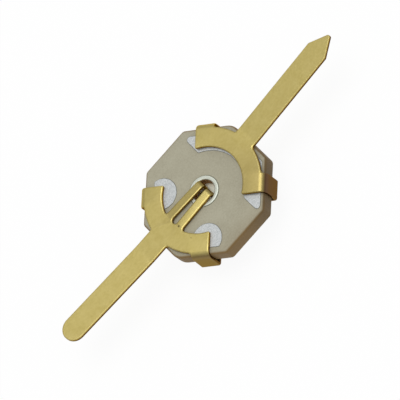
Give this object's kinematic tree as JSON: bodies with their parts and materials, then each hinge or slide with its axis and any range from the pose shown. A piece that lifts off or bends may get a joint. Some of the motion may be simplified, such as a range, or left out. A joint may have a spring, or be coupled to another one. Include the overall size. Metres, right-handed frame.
{
  "type": "trimmer capacitor",
  "caption": "Octagonal ceramic trimmer capacitor with folded brass strip leads, forked contact tines and a slotted post that turns a ceramic rotor disc.",
  "frame": {"origin": "on the rotor's axis, at the face of the slotted head that the part rests on", "axes": "+X along the strip leads, towards the pointed stator lead; +Z along the rotor's axis, from the slotted head to the terminals' side; +Y completes a right-handed frame"},
  "size_m": [0.015, 0.005, 0.0023],
  "materials": {
    "buff_ceramic": "fired steatite ceramic, matt, lightly rounded edges",
    "white_ceramic": "fired dielectric ceramic, lapped",
    "brass_sheet": "stamped and folded sheet, bright, fine rolling grain",
    "fired_silver": "screened silver paste, fired, satin white",
    "silver_plated_brass": "turned brass, dull silver plate",
    "spring_bronze": "stamped spring sheet, satin"
  },
  "bodies": {
    "stator": {"ceramic_stator": "buff_ceramic", "stator_terminal": "brass_sheet", "rotor_terminal": "brass_sheet", "stator_land": "fired_silver", "rotor_land_left": "fired_silver", "rotor_land_right": "fired_silver", "stator_electrode": "fired_silver"},
    "rotor": {"rotor_post": "silver_plated_brass", "rotor_disc": "white_ceramic", "rotor_electrode": "fired_silver", "bowed_washer": "spring_bronze"}
  },
  "joints": [
    {"name": "rotor_turn", "type": "hinge", "parent": "stator", "child": "rotor", "pos_m": [0, 0, 0], "axis": [0, 0, 1], "continuous": true}
  ]
}
